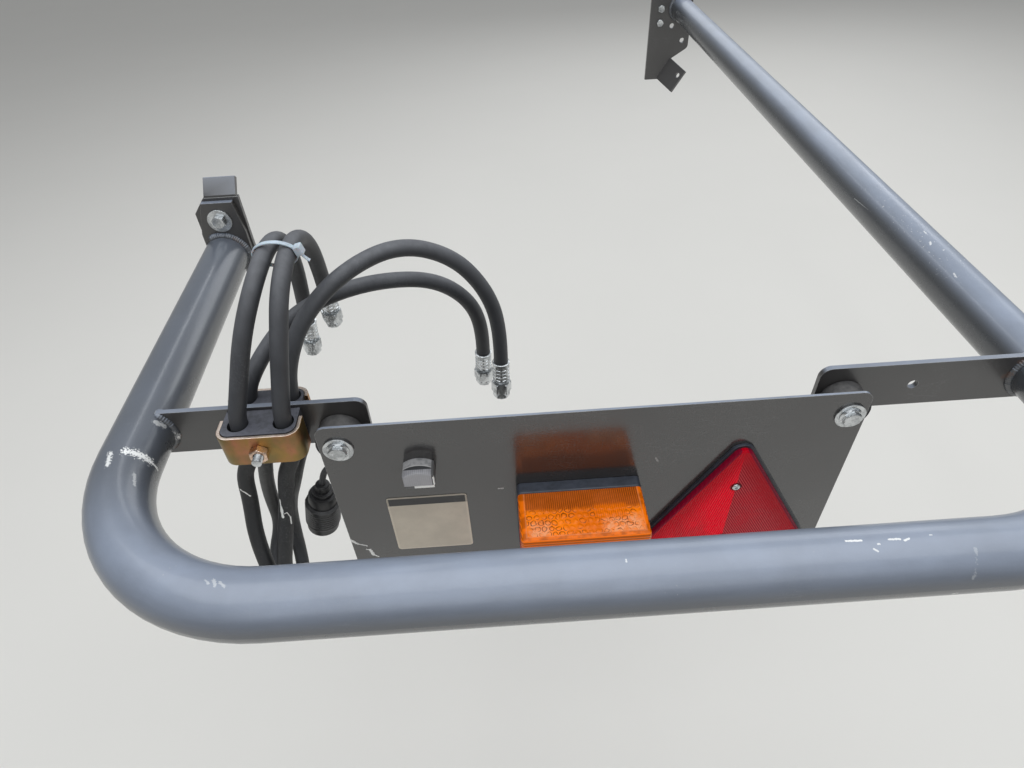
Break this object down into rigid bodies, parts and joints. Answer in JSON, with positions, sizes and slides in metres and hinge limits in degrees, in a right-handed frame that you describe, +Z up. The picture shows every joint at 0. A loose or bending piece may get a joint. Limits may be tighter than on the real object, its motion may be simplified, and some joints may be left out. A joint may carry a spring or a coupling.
{
  "type": "round baler rear guard hoop with light board",
  "caption": "Bent tubular guard hoop from the rear of a round baler, carrying a light board with lamp and reflector, and clamped hydraulic hoses.",
  "frame": {"origin": "the point on the left bracket's forward face, 34 mm below its bolt, where the machine's frame holds the hoop", "axes": "+X to the right as seen from behind the machine, +Y forward to the machine, +Z up"},
  "size_m": [1.0181, 1.8182, 0.501],
  "materials": {
    "dark_paint": "semi-gloss anthracite paint, chipped and dusty",
    "buffer_rubber": "matt black rubber",
    "zinc": "bright zinc plating, dulled",
    "yellow_zinc": "yellow passivated zinc, worn",
    "black_plastic": "black moulded plastic",
    "amber_lens": "clear amber acrylic with moulded optics",
    "red_lens": "clear red acrylic with moulded prisms",
    "sign_face": "blank beige-grey sign foil with a dark band at the top",
    "clear_lens": "clear acrylic, frosted",
    "hose_rubber": "black hydraulic hose cover, dusty"
  },
  "bodies": {
    "root": {"guard_tube": "dark_paint", "left_end_plate": "dark_paint", "left_bracket": "dark_paint", "right_end_plate": "dark_paint", "lug_plate_left": "dark_paint", "lug_plate_right": "dark_paint", "light_board": "dark_paint", "buffer_left": "buffer_rubber", "buffer_right": "buffer_rubber", "clamp_block_front": "buffer_rubber", "clamp_block_rear": "buffer_rubber", "board_bolt_left": "zinc", "board_bolt_right": "zinc", "board_washer_left": "zinc", "board_washer_right": "zinc", "end_bolt_left": "zinc", "end_washer_left": "zinc", "end_bolt_right_low": "zinc", "end_bolt_right_high": "zinc", "clamp_bolt": "zinc", "clamp_nut": "zinc", "board_nut_left": "zinc", "board_nut_right": "zinc", "reflector_screw_high": "zinc", "reflector_screw_low": "zinc", "fitting_a_over": "zinc", "fitting_b_over": "zinc", "fitting_a_arc": "zinc", "fitting_b_arc": "zinc", "clamp_strap_front": "yellow_zinc", "clamp_strap_rear": "yellow_zinc", "lamp_base": "black_plastic", "reflector_base": "black_plastic", "plate_lamp": "black_plastic", "lead_box": "black_plastic", "lead_clip": "black_plastic", "plug": "black_plastic", "blank_plate": "sign_face", "plate_lamp_lens": "clear_lens", "lamp_lens_amber": "amber_lens", "lamp_lens_red": "red_lens", "reflector_red": "red_lens", "hose_a_over": "hose_rubber", "hose_b_over": "hose_rubber", "hose_a_under": "hose_rubber", "hose_b_under": "hose_rubber", "hose_a_arc": "hose_rubber", "hose_b_arc": "hose_rubber", "lamp_lead": "hose_rubber"}
  },
  "joints": []
}
